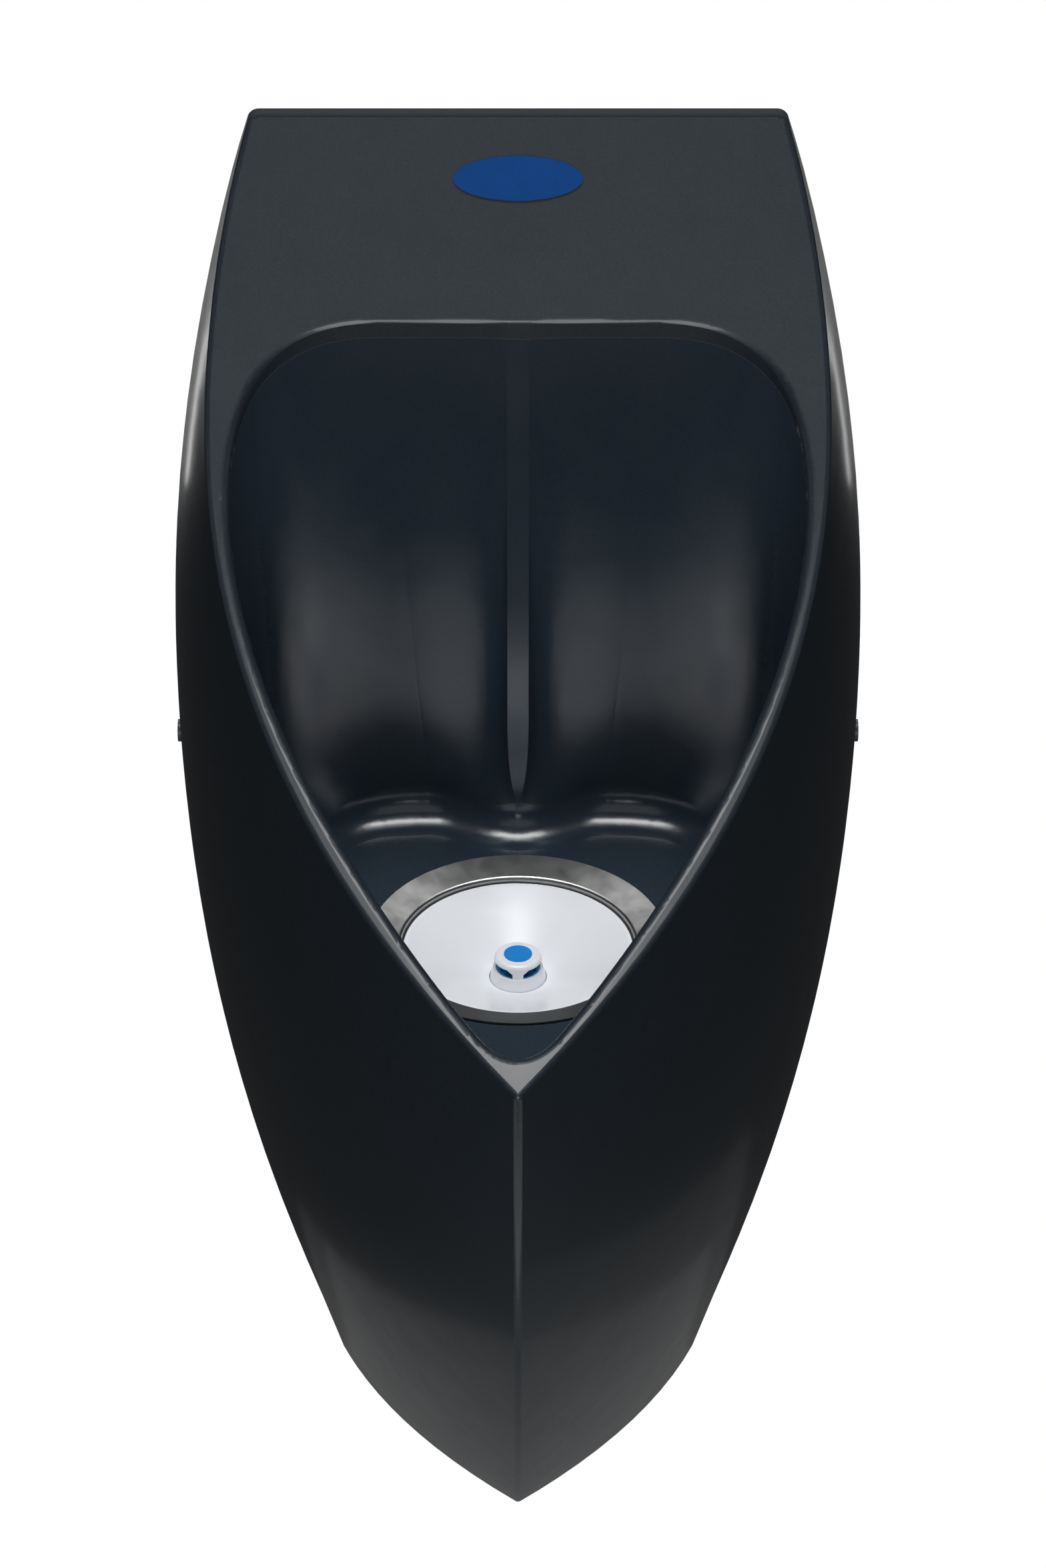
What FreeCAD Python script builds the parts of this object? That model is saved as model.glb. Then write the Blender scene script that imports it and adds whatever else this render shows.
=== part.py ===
import FreeCAD, Part
import math
import os
from types import SimpleNamespace

import Sketcher
from FreeCAD import Vector

# A wall-hung waterless urinal: a bow-shaped moulded hull with a bonded bowl liner, a drop-in odour
# trap in a steel collar, the drain below it and the brackets that hold it to the wall.
# Millimetres. The wall is the plane Y = 0, the user stands at -Y, +Z is up, and the origin is the
# middle of the upper wall bracket's two bolt holes.

doc = FreeCAD.newDocument("waterless_urinal")

# Driving dimensions. "drop" is measured down from the bolt line, "setback" out from the wall, and the
# heights of the trap's pieces are depths below the collar's outer edge.
SIZES = [
    # hull
    ("crown_rise", 102.0, "top of the hull above the bolt line"),
    ("crown_half", 132.3, "half width at the top"),
    ("crown_setback", 8.0, "depth of the flat top"),
    ("beam_half", 180.6, "half width at the widest level"),
    ("beam_drop", 205.0, "widest level"),
    ("base_half", 103.0, "half width at the open bottom"),
    ("base_drop", 688.0, "bottom edge"),
    ("base_setback", 137.0, "prow at the bottom edge"),
    ("lip_setback", 354.0, "prow at the front lip"),
    ("lip_drop", 243.0, "front lip"),
    ("sag_setback", 111.0, "pull point of the front face's curve, out from the wall"),
    ("sag_drop", 115.0, "pull point of the front face's curve, down from the bolt line"),
    ("hull_wall", 3.0, "thickness of the moulded hull"),
    ("front_wall", 6.0, "thickness of the front face, down to the bond with the liner"),
    ("crease_radius", 3.0, "rounding of the prow and of the front face's outer edge"),
    ("corner_radius", 6.0, "rounding of the two top corners"),
    ("lip_radius", 5.0, "rounding of the opening's edge"),
    # opening and bowl
    ("opening_setback", 58.0, "upper edge of the opening"),
    ("opening_flat", 70.0, "half length of the straight upper edge"),
    ("rim_side", 10.6, "rim beside the opening at its widest"),
    ("opening_waist", 108.0, "setback of the opening's widest place"),
    ("rim_front", 22.0, "rim in front of the opening"),
    ("opening_round", 11.6, "depth taken off the opening's front point by its rounding"),
    ("floor_round", 22.0, "depth taken off the floor's front point by its rounding"),
    ("liner_wall", 4.0, "thickness of the bowl liner"),
    ("floor_wall", 9.0, "thickness of the bowl floor"),
    ("floor_draw_side", 29.3, "floor drawn in from the opening, at each side"),
    ("floor_waist", 115.0, "setback of the floor's widest place"),
    ("floor_draw_front", 27.0, "floor drawn in from the opening, at the front"),
    ("floor_fillet", 18.0, "rounding between wall and floor"),
    ("ridge_setback", 39.0, "foot of the splash ridge"),
    ("ridge_half", 5.5, "half width of the splash ridge's flat nose"),
    ("ridge_foot_half", 1.0, "half width of the splash ridge's flat nose, at the floor"),
    ("ridge_fade", 60.0, "height over which the splash ridge fades out above the floor"),
    ("lobe_setback", 23.0, "deepest place beside the ridge, at the floor"),
    ("lobe_half", 46.0, "deepest place beside the ridge, off the middle"),
    ("draft_height", 90.0, "height over which the bowl draws in to its floor"),
    ("bond_gap", 0.3, "bond line between hull and liner"),
    # trap collar
    ("trap_drop", 298.0, "outer edge of the collar"),
    ("trap_setback", 140.0, "axis of the trap"),
    ("collar_radius", 76.4, "outer edge of the collar"),
    ("collar_slope", 0.27, "fall of the collar's face"),
    ("collar_sheet", 1.2, "sheet thickness of the collar"),
    ("sleeve_bore", 60.6, "inner radius of the collar's sleeve"),
    ("sleeve_depth", 43.5, "depth of the seat in the sleeve"),
    ("seat_bore", 57.0, "hole in the seat"),
    ("collar_bend", 2.0, "bend between face and sleeve"),
    ("gasket_height", 1.0, "gasket under the collar"),
    ("floor_depth", 1.0, "bowl floor below the collar's edge"),
    ("recess_gap", 0.8, "gap round the collar in its recess"),
    ("sleeve_gap", 0.9, "gap round the sleeve in the floor"),
    # drain housing
    ("washer_height", 1.5, "washer under the floor"),
    ("housing_flange_width", 18.0, "width of the housing's flange outside the sleeve"),
    ("housing_flange_height", 8.0, "height of the housing's flange"),
    ("thread_gap", 0.3, "gap between screwed pieces"),
    ("housing_wall", 3.5, "wall of the housing"),
    ("housing_bore", 58.0, "inner radius of the housing's chamber"),
    ("chamber_room", 8.0, "room under the trap cup, down to the foot of the chamber's straight wall"),
    ("hopper_height", 18.0, "height of the chamber's sloping foot"),
    ("spigot_length", 22.0, "length of the outlet spigot"),
    ("spigot_radius", 23.5, "outer radius of the outlet spigot"),
    ("pipe_radius", 20.0, "outer radius of the drain pipe"),
    ("pipe_wall", 3.0, "wall of the drain pipe"),
    ("grip_count", 10.0, "grips round the flange and the nuts"),
    ("grip_radius", 5.0, "radius of a grip scallop"),
    # outlet
    ("union_washer", 2.0, "washer in the upper union"),
    ("elbow_flange", 3.0, "flange of the elbow"),
    ("elbow_wall", 4.0, "wall of the elbow"),
    ("nut_wall", 6.0, "wall of the union nuts"),
    ("nut_shoulder", 4.0, "shoulder of the union nuts"),
    ("nut_engagement", 12.0, "threaded overlap of the union nuts"),
    ("elbow_straight", 10.0, "straight run above the bend"),
    ("elbow_radius", 42.0, "bend radius of the elbow"),
    ("bell_length", 26.0, "length of the elbow's bell"),
    ("bell_run", 12.0, "straight run between bend and bell"),
    ("tail_socket", 20.0, "pipe length held in the bell"),
    ("tail_relief", 0.5, "step of the pipe where it enters the bell"),
    ("tail_washer_length", 5.0, "tapered washer in the lower union"),
    # trap insert
    ("dish_gap", 1.0, "gap between dish and sleeve"),
    ("dish_depth", 6.5, "rim of the dish"),
    ("dish_wall", 2.5, "wall of the dish"),
    ("dish_rim", 2.3, "width of the dish's rim"),
    ("sump_depth", 25.0, "foot of the dish's cone"),
    ("sump_radius", 15.0, "seat of the inlet cap"),
    ("sump_step", 2.5, "height of the cap's seat"),
    ("inlet_bore", 9.5, "inner radius of the inlet tube"),
    ("inlet_wall", 2.0, "wall of the inlet tube"),
    ("inlet_depth", 86.0, "mouth of the inlet tube"),
    ("skirt_wall", 3.4, "wall of the dish's skirt"),
    ("ring_depth", 34.0, "middle of the sealing ring"),
    ("ring_thick", 1.35, "radius of the sealing ring's section"),
    ("ring_groove", 2.2, "depth of the sealing ring's groove"),
    ("fit_gap", 0.05, "gap between sealing ring and sleeve"),
    ("cup_radius", 42.5, "outer radius of the trap cup"),
    ("cup_wall", 2.5, "wall of the trap cup"),
    ("weir_depth", 50.0, "overflow edge of the trap cup"),
    ("cup_depth", 98.0, "foot of the trap cup"),
    ("post_circle", 48.0, "circle of the cup's posts"),
    ("post_radius", 4.5, "radius of the cup's posts"),
    ("lug_radius", 7.0, "radius of the cup's lugs"),
    ("lug_depth", 54.0, "top of the cup's lugs"),
    ("lug_height", 4.0, "height of the cup's lugs"),
    ("cup_screw_radius", 1.5, "radius of the cup's screws"),
    ("cup_screw_length", 9.0, "length of the cup's screws in the posts"),
    ("cup_screw_head", 3.0, "radius of the cup's screw heads"),
    ("cup_screw_gap", 0.1, "gap round the cup's screws in the lugs"),
    ("cup_head_height", 2.0, "height of the cup's screw heads"),
    # inlet cap and strainer
    ("cap_radius", 12.4, "radius of the cap's head"),
    ("cap_top_depth", 11.0, "top of the cap"),
    ("cap_brim_depth", 13.6, "underside of the cap's head"),
    ("cap_wall", 1.5, "wall of the cap"),
    ("cap_top_wall", 1.8, "top of the cap's shell"),
    ("cap_skirt_depth", 18.6, "top of the cap's skirt, under the windows"),
    ("cap_skirt_step", 0.6, "skirt outside the legs"),
    ("cap_ring_height", 2.2, "foot ring of the cap"),
    ("cap_gap", 0.3, "gap round the foot ring"),
    ("cap_leg_width", 3.4, "width of the cap's legs"),
    ("cap_leg_flare", 2.2, "flare of the cap's legs into its head"),
    ("cap_leg_count", 3.0, "legs of the cap"),
    ("cap_notch_half", 6.5, "half width of the drain notch in the skirt"),
    ("cap_notch_depth", 20.2, "top of the drain notch in the skirt"),
    ("cap_round", 2.3, "rounding of the cap's head"),
    ("disc_radius", 7.3, "coloured disc on the cap"),
    ("disc_height", 0.5, "thickness of the coloured disc"),
    ("strainer_wall", 1.4, "wall of the strainer"),
    ("strainer_stem", 14.0, "length of the strainer in the inlet tube"),
    ("strainer_slot", 2.2, "width of the strainer's slots"),
    ("strainer_slot_count", 6.0, "slots of the strainer"),
    # wall bracket and batten
    ("bracket_end", 20.0, "wall bracket past its bolt holes"),
    ("bracket_sheet", 3.0, "sheet thickness of the brackets"),
    ("bracket_bolt_half", 80.0, "bolt holes of the wall bracket, off the middle"),
    ("bracket_bolt_radius", 4.5, "bolt holes of the wall bracket"),
    ("bracket_tail", 18.0, "bracket plate below the bolt line"),
    ("ledge_rise", 20.0, "ledge that carries the hull, above the bolt line"),
    ("ledge_reach", 15.0, "reach of the ledge from the wall"),
    ("hook_height", 12.0, "upturned edge of the ledge"),
    ("hook_gap", 0.4, "play of the batten on the hook"),
    ("batten_height", 38.0, "height of the hanging batten"),
    ("batten_setback", 22.0, "front of the hanging batten"),
    # lower brackets
    ("lower_drop", 251.0, "screws of the lower brackets"),
    ("lower_height", 40.0, "height of the lower brackets"),
    ("lower_reach", 26.0, "reach of the lower brackets from the wall"),
    ("lower_leg", 46.0, "wall leg of the lower brackets"),
    ("lower_bolt_inset", 26.0, "bolt holes of the lower brackets, in from the hull"),
    ("lower_bolt_radius", 3.5, "bolt holes of the lower brackets"),
    ("lower_gap", 0.8, "gap between lower bracket and hull"),
    ("side_screw_setback", 14.0, "side screws, out from the wall"),
    ("side_screw_radius", 2.5, "radius of the side screws"),
    ("side_screw_gap", 0.1, "gap round the side screws"),
    ("side_screw_tail", 4.0, "side screw past the bracket"),
    ("side_head_radius", 4.6, "head of the side screws"),
    ("side_head_height", 2.2, "height of the side screw heads"),
    ("side_sink", 1.2, "spot face of the side screws"),
    ("side_cap_radius", 6.0, "cap over a side screw"),
    ("side_cap_wall", 0.9, "wall of that cap"),
    # badge
    ("badge_drop", -74.3, "middle of the oval badge, below the bolt line"),
    ("badge_half_length", 32.0, "half length of the oval badge"),
    ("badge_half_height", 11.0, "half height of the oval badge"),
    ("badge_thick", 0.5, "thickness of the oval badge"),
    ("badge_film", 0.3, "adhesive film behind the oval badge"),
]

sheet = doc.addObject("Spreadsheet::Sheet", "Sizes")
for row, (alias, number, note) in enumerate(SIZES, start=1):
    sheet.set(f"A{row}", alias)
    sheet.set(f"B{row}", str(number))
    sheet.set(f"C{row}", note)
    sheet.setAlias(f"B{row}", alias)
doc.recompute()


class Size:
    """A length from the sheet, or a sum of such lengths: its number and its expression."""

    def __init__(self, number, text):
        self.number = float(number)
        self.text = text

    def __add__(self, other):
        other = as_size(other)
        return Size(self.number + other.number, f"({self.text} + {other.text})")

    def __sub__(self, other):
        other = as_size(other)
        return Size(self.number - other.number, f"({self.text} - {other.text})")

    def __mul__(self, other):
        other = as_size(other)
        return Size(self.number * other.number, f"({self.text} * {other.text})")

    def __truediv__(self, other):
        other = as_size(other)
        return Size(self.number / other.number, f"({self.text} / {other.text})")

    def __neg__(self):
        return Size(-self.number, f"(0 - {self.text})")


def as_size(value):
    return value if isinstance(value, Size) else Size(value, repr(float(value)))


def cell(alias):
    return Size(sheet.get(alias), f"Sizes.{alias}")


d = SimpleNamespace(**{alias: cell(alias) for alias, number, note in SIZES})
ZERO = as_size(0)
BACK = Vector(0, 1, 0)


# Helpers that make one feature each and bind its sizes to the sheet.


def bind(feature, **sizes):
    for name, size in sizes.items():
        feature.setExpression(name, as_size(size).text)
    return feature


def place(feature, x=ZERO, y=ZERO, z=ZERO):
    for axis, size in zip("xyz", (x, y, z)):
        feature.setExpression(f"Placement.Base.{axis}", as_size(size).text)
    return feature


def rod(name, radius, length, x=ZERO, y=ZERO, z=ZERO, along=None):
    """A cylinder that starts at a point and runs along a direction, +Z by default."""
    feature = doc.addObject("Part::Cylinder", name)
    bind(feature, Radius=radius, Height=length)
    if along is not None:
        feature.Placement.Rotation = FreeCAD.Rotation(Vector(0, 0, 1), along)
    return place(feature, x, y, z)


def block(name, low, high):
    """A box between two corners."""
    feature = doc.addObject("Part::Box", name)
    low = [as_size(size) for size in low]
    high = [as_size(size) for size in high]
    bind(feature, Length=high[0] - low[0], Width=high[1] - low[1], Height=high[2] - low[2])
    return place(feature, *low)


def plus(name, *shapes):
    feature = doc.addObject("Part::MultiFuse", name)
    feature.Shapes = list(shapes)
    return feature


def minus(name, base, *tools):
    feature = doc.addObject("Part::Cut", name)
    feature.Base = base
    feature.Tool = tools[0] if len(tools) == 1 else plus(f"{name}_tools", *tools)
    return feature


def common(name, *shapes):
    feature = doc.addObject("Part::MultiCommon", name)
    feature.Shapes = list(shapes)
    return feature


def several(name, *shapes):
    """Like pieces that share one node, as separate solids."""
    feature = doc.addObject("Part::Compound", name)
    feature.Links = list(shapes)
    return feature


def origin_part(body, role):
    """A plane or axis of a body's own origin."""
    return next(part for part in body.Origin.OriginFeatures if part.Role == role)


def pin_corner(sketch, line, corner):
    """Holds the start of a line at a corner that the sheet gives."""
    for kind, axis, size in zip(("DistanceX", "DistanceY"), (-2, -1), corner):
        if size is ZERO:
            sketch.addConstraint(Sketcher.Constraint("PointOnObject", line, 1, axis))
        elif size.number < 0:
            index = sketch.addConstraint(Sketcher.Constraint(kind, line, 1, -1, 1, -size.number))
            sketch.setExpression(f"Constraints[{index}]", (-size).text)
        else:
            index = sketch.addConstraint(Sketcher.Constraint(kind, -1, 1, line, 1, size.number))
            sketch.setExpression(f"Constraints[{index}]", size.text)


def outline_sketch(body, name, role, corners):
    """A closed outline of straight lines whose corners the sheet gives."""
    sketch = body.newObject("Sketcher::SketchObject", name)
    sketch.AttachmentSupport = [(origin_part(body, role), "")]
    sketch.MapMode = "FlatFace"
    corners = [(as_size(across), as_size(up)) for across, up in corners]
    points = [Vector(across.number, up.number, 0) for across, up in corners]
    for start, end in zip(points, points[1:] + points[:1]):
        sketch.addGeometry(Part.LineSegment(start, end), False)
    for line in range(len(points)):
        sketch.addConstraint(Sketcher.Constraint("Coincident", line, 2, (line + 1) % len(points), 1))
    for line, corner in enumerate(corners):
        pin_corner(sketch, line, corner)
    return sketch


def turned(name, corners, x=ZERO, y=ZERO, z=ZERO):
    """A turned piece: corners are (radius, height) round its own upright axis."""
    body = doc.addObject("PartDesign::Body", name)
    sketch = outline_sketch(body, f"{name}_outline", "XZ_Plane", corners)
    turn = body.newObject("PartDesign::Revolution", f"{name}_turn")
    turn.Profile = sketch
    turn.ReferenceAxis = (sketch, ["V_Axis"])
    turn.Angle = 360.0
    place(body, x, y, z)
    doc.recompute()
    return body


def trap_turned(name, corners):
    """A turned piece of the trap: corners are (radius, depth below the collar's edge)."""
    below = [(radius, depth if depth is ZERO else -as_size(depth)) for radius, depth in corners]
    return turned(name, below, y=-d.trap_setback, z=-d.trap_drop)


def circle_at(edge, radius, height, slack=0.05):
    """Whether an edge of a turned piece is the circle of that radius and height, in its own frame."""
    curve = edge.Curve
    if not isinstance(curve, Part.Circle):
        return False
    return abs(curve.Radius - radius) < slack and abs(curve.Center.z - height) < slack


def round_circles(body, radius, *circles):
    """Rounds circular edges of a turned piece. circles are (radius, depth) pairs."""
    base = body.Tip
    names = []
    for index, edge in enumerate(base.Shape.Edges, start=1):
        if any(circle_at(edge, as_size(r).number, -as_size(depth).number) for r, depth in circles):
            names.append(f"Edge{index}")
    rounding = body.newObject("PartDesign::Fillet", f"{body.Name}_round")
    rounding.Base = (base, names)
    bind(rounding, Radius=radius)
    doc.recompute()
    return body


# The hull's shape. Its level sections are bows: a parabola from the wall to the prow on each side.

CROWN = d.crown_rise.number
BEAM = -d.beam_drop.number
LIP = -d.lip_drop.number
BASE = -d.base_drop.number
TRAP = -d.trap_drop.number
HULL_SECTIONS = 11
PAST_EDGE = 20.0


def half_width(level):
    """Half the hull's width at the wall: two parabolas that meet at the widest level."""
    if level >= BEAM:
        narrow, share = d.crown_half.number, (level - BEAM) / (CROWN - BEAM)
    else:
        narrow, share = d.base_half.number, (BEAM - level) / (BEAM - BASE)
    return d.beam_half.number - (d.beam_half.number - narrow) * share**2


def rake(level):
    """How far the prow has swept back: 0 at the lip and above, 1 at the bottom edge."""
    return max(0.0, (LIP - level) / (LIP - BASE)) ** 2


def reach(level):
    return d.lip_setback.number - (d.lip_setback.number - d.base_setback.number) * rake(level)


def bow_half(level, setback):
    """Half the hull's width at a setback, at a level above the lip."""
    return half_width(level) * (1.0 - (setback / reach(level)) ** 2)


def front_level(setback):
    """The level of the front face at a setback."""
    start, pull, end = d.crown_setback.number, d.sag_setback.number, d.lip_setback.number
    bend = start - 2 * pull + end
    run = pull - start
    share = (math.sqrt(run**2 + bend * (setback - start)) - run) / bend
    return CROWN * (1 - share) ** 2 - 2 * d.sag_drop.number * share * (1 - share) + LIP * share**2


def bezier(*poles):
    curve = Part.BezierCurve()
    curve.setPoles(list(poles))
    return curve.toShape()


# The bow is full at the lip, and hollows towards the bottom: these pull its curve in and forward there.
HOLLOW_IN = 0.29
HOLLOW_FORWARD = 0.047
PROW_SLANT = math.sqrt(2.0)


def bow(level, inset):
    """One level section, drawn in by inset. It is closed some way behind the wall's plane."""
    side = half_width(level) - inset
    prow = reach(level) - inset * PROW_SLANT
    pull_x = side * (1.0 - HOLLOW_IN * rake(level))
    pull_y = prow * (0.5 + HOLLOW_FORWARD * rake(level))
    right = bezier(Vector(side, 0, level), Vector(pull_x, -pull_y, level), Vector(0, -prow, level))
    left = bezier(Vector(0, -prow, level), Vector(-pull_x, -pull_y, level), Vector(-side, 0, level))
    behind = Vector(0, PAST_EDGE, 0)
    corners = [Vector(-side, 0, level), Vector(-side, 0, level) + behind]
    corners += [Vector(side, 0, level) + behind, Vector(side, 0, level)]
    closing = [Part.makeLine(start, end) for start, end in zip(corners, corners[1:])]
    return Part.Wire([right, left, *closing])


def bow_solid(inset, low, high):
    levels = [low + (high - low) * index / (HULL_SECTIONS - 1) for index in range(HULL_SECTIONS)]
    return Part.makeLoft([bow(level, inset) for level in levels], True, False)


def above_front_face(inset):
    """All that lies in front of the front face, or of a face inset behind it: the tool that trims to it."""
    start = Vector(0, -d.crown_setback.number, CROWN)
    pull = Vector(0, -d.sag_setback.number, -d.sag_drop.number)
    end = Vector(0, -d.lip_setback.number, LIP)
    first = (pull - start).normalize()
    last = (end - pull).normalize()
    start = start + inset * Vector(0, -first.z, first.y)
    end = end + inset * Vector(0, -last.z, last.y)
    along = (end.z - start.z) * last.y - (end.y - start.y) * last.z
    pull = start + first * (along / (first.z * last.y - first.y * last.z))
    beyond = end + last * PAST_EDGE * 4
    top = start - first * PAST_EDGE * 4
    corner = Vector(0, beyond.y, top.z)
    profile = [bezier(start, pull, end)]
    for here, there in ((end, beyond), (beyond, corner), (corner, top), (top, start)):
        profile.append(Part.makeLine(here, there))
    half = d.beam_half.number + PAST_EDGE
    tool = Part.Face(Part.Wire(profile)).extrude(Vector(2 * half, 0, 0))
    tool.translate(Vector(-half, 0, 0))
    return tool


def behind_wall():
    half = d.beam_half.number + PAST_EDGE
    height = CROWN - BASE + 2 * PAST_EDGE
    return Part.makeBox(2 * half, 2 * PAST_EDGE, height, Vector(-half, 0, BASE - PAST_EDGE))


# The bowl's shape. Its level sections have a splash ridge in the middle of the back, a lobe on each
# side of it, full corners, and sides that run forward to a rounded point.

# The opening's sides run a little steeper than the hull's. The pulls are shares of the ridge's flank that
# its curve takes at the foot, at the nose and at the lobe, and the fall is how soon it drops to the lobe.

OPENING_FOLLOW = 0.845
FOOT_PULL = 0.36
NOSE_PULL = 0.10
LOBE_PULL = 0.6
FLANK_FALL = 1.0
LINER_SLANT = 1.3
BOWL_SECTIONS = 13
BOWL_TOP = CROWN - PAST_EDGE
OPENING_TOP = 14.0
FLOOR = TRAP - d.floor_depth.number
opening_slope = OPENING_FOLLOW * 2 * half_width(LIP) / reach(LIP)
hull_beside = bow_half(front_level(d.opening_waist.number), d.opening_waist.number)
opening_half = as_size(hull_beside) - d.rim_side
opening_front = d.lip_setback - d.rim_front
floor_half = opening_half - d.floor_draw_side
floor_front = opening_front - d.floor_draw_front


def mix(start, end, share):
    return start.number + (end.number - start.number) * share


def bowl_section(level, out):
    """One level of the bowl, moved outwards by out. The ridge and lobes grow from the opening's upper
    edge down to the floor, and the sides and front draw in only near the floor."""
    sink = min(1.0, max(0.0, (OPENING_TOP - level) / (OPENING_TOP - FLOOR)))
    draft = min(1.0, max(0.0, (FLOOR + d.draft_height.number - level) / d.draft_height.number)) ** 3
    back = mix(d.opening_setback, d.lobe_setback, sink) - out
    ridge = mix(d.opening_setback, d.ridge_setback, sink) - out
    flat = mix(d.opening_flat, d.lobe_half, sink)
    side = mix(opening_half, floor_half, draft) + out
    waist = mix(d.opening_waist, d.floor_waist, draft)
    front = mix(opening_front, floor_front, draft) + out * LINER_SLANT
    rounding = mix(d.opening_round, d.floor_round, draft)
    point = front + rounding
    turn = front - rounding
    turn_half = (point - turn) * opening_slope
    side_pull = point - side / opening_slope
    fade = min(1.0, max(0.0, (FLOOR + d.ridge_fade.number - level) / d.ridge_fade.number))
    nose = mix(d.ridge_half, d.ridge_foot_half, fade)
    nose_pull = (flat - nose) * (NOSE_PULL + (FOOT_PULL - NOSE_PULL) * fade)
    lobe_pull = (flat - nose) * (LOBE_PULL + (FOOT_PULL - LOBE_PULL) * fade)
    flank = ridge - (ridge - back) * FLANK_FALL * (1.0 - fade)

    def at(x, setback):
        return Vector(x, -setback, level)

    right = [
        [at(nose, ridge), at(nose + nose_pull, flank), at(flat - lobe_pull, back), at(flat, back)],
        [at(flat, back), at(side, back), at(side, waist)],
        [at(side, waist), at(side, side_pull), at(turn_half, turn)],
    ]
    left = [[Vector(-pole.x, pole.y, pole.z) for pole in reversed(poles)] for poles in reversed(right)]
    nose_poles = [at(-nose, ridge), at(nose, ridge)]
    front_poles = [at(turn_half, turn), at(0, point), at(-turn_half, turn)]
    return Part.Wire([bezier(*poles) for poles in [nose_poles, *right, front_poles, *left]])


def bowl_solid(out, foot_level, foot_radius):
    """The bowl as a closed solid from its foot to above the opening, with the foot's edge rounded."""
    step = (foot_level - BOWL_TOP) / (BOWL_SECTIONS - 1)
    sections = [bowl_section(BOWL_TOP + step * index, out) for index in range(BOWL_SECTIONS)]
    solid = Part.makeLoft(sections, True, False)
    foot = [edge for edge in solid.Edges if edge.BoundBox.ZMax < foot_level + 0.01]
    return solid.makeFillet(foot_radius, foot)


bowl_space = bowl_solid(0.0, FLOOR, d.floor_fillet.number)
hull_space = bow_solid(d.hull_wall.number, BASE - PAST_EDGE, CROWN - d.hull_wall.number)
hull_space = hull_space.cut(above_front_face(d.front_wall.number))


# Hull shell: one moulding, open at the back and bottom, with the opening of the bowl in its front face.
# The lip's rounding takes at most a share of the rim that the outer rounding leaves.

RIM_POINTS = 40
LIP_SHARE = 0.9


def crown_corner(edge):
    """Whether an edge of the trimmed hull is a short one at the side of its flat top."""
    box = edge.BoundBox
    return box.ZMin > CROWN - 0.1 and box.YMin < -0.5 and box.XLength < d.crown_setback.number


def prow_or_crease(edge):
    """Whether an edge of the trimmed hull is its prow, or bounds its front face."""
    box = edge.BoundBox
    prow = box.XLength < 0.01 and box.ZLength > (LIP - BASE) / 2
    crease = box.YMin < -1 and box.YMax < -0.5 and box.ZMin > LIP - 6 and box.ZMax > LIP + 1
    return prow or (crease and not crown_corner(edge))


def opening_edges(shape):
    """The inner boundary of the one face that has a hole in it: the edge of the bowl's opening."""
    front = next(face for face in shape.Faces if len(face.Wires) == 2)
    inner = min(front.Wires, key=lambda wire: wire.Length)
    return [edge for edge in shape.Edges if any(edge.isSame(other) for other in inner.Edges)]


def narrowest_rim():
    """The least distance, seen from above, between the opening's edge and the hull's outer edge."""
    start, end = d.opening_setback.number, d.lip_setback.number
    setbacks = [start + (end - start) * index / RIM_POINTS for index in range(RIM_POINTS + 1)]
    rim = [Vector(bow_half(front_level(setback), setback), -setback, OPENING_TOP) for setback in setbacks]
    return bowl_section(OPENING_TOP, 0.0).distToShape(Part.makePolygon(rim))[0]


def side_exit(sign):
    """Where a side screw's axis leaves the hull's outer face."""
    level = -d.lower_drop.number
    setback = d.side_screw_setback.number
    return Vector(sign * bow_half(level, setback), -setback, level)


def hull_shape():
    outer = bow_solid(0.0, BASE, CROWN).cut(above_front_face(0.0)).cut(behind_wall())
    outer = outer.makeFillet(d.corner_radius.number, [edge for edge in outer.Edges if crown_corner(edge)])
    outer = outer.makeFillet(d.crease_radius.number, [edge for edge in outer.Edges if prow_or_crease(edge)])
    shell = outer.cut(bowl_space)
    lip_room = (narrowest_rim() - d.crease_radius.number) * LIP_SHARE
    shell = shell.makeFillet(min(d.lip_radius.number, lip_room), opening_edges(shell))
    shell = shell.cut(hull_space)
    for sign in (-1, 1):
        out = Vector(sign, 0, 0)
        exit_point = side_exit(sign)
        hole_radius = d.side_screw_radius.number + 10 * d.side_screw_gap.number
        hole = Part.makeCylinder(hole_radius, 2 * PAST_EDGE, exit_point - out * PAST_EDGE, out)
        sink = Part.makeCylinder(
            d.side_cap_radius.number + d.side_screw_gap.number,
            PAST_EDGE,
            exit_point - out * d.side_sink.number,
            out,
        )
        shell = shell.cut(hole).cut(sink)
    return shell


hull_shell = doc.addObject("Part::Feature", "hull_shell")
hull_shell.Shape = hull_shape()


# Bowl liner: bonded under the hull's front face, with a conical recess and a hole for the trap collar.


def collar_face(radius):
    """Depth of the collar's upper face at a radius."""
    return (d.collar_radius - radius) * d.collar_slope


sleeve_radius = d.sleeve_bore + d.collar_sheet
housing_flange_half = sleeve_radius + d.housing_flange_width
recess_radius = d.collar_radius + d.recess_gap
floor_hole = sleeve_radius + d.sleeve_gap
floor_foot = d.floor_depth + d.floor_wall
gasket_foot = d.collar_sheet + d.gasket_height


def recess_tool():
    """What the liner's floor loses to the collar, its gasket and its sleeve."""
    corners = [
        (ZERO, -PAST_EDGE),
        (recess_radius, -PAST_EDGE),
        (recess_radius, (collar_face(recess_radius) + gasket_foot).number),
        (floor_hole, (collar_face(floor_hole) + gasket_foot).number),
        (floor_hole, 3 * PAST_EDGE),
        (ZERO, 3 * PAST_EDGE),
    ]
    axis = Vector(0, -d.trap_setback.number, TRAP)
    points = [axis + Vector(radius.number, 0, -depth) for radius, depth in corners]
    return Part.Face(Part.makePolygon(points + points[:1])).revolve(axis, Vector(0, 0, 1), 360)


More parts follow.
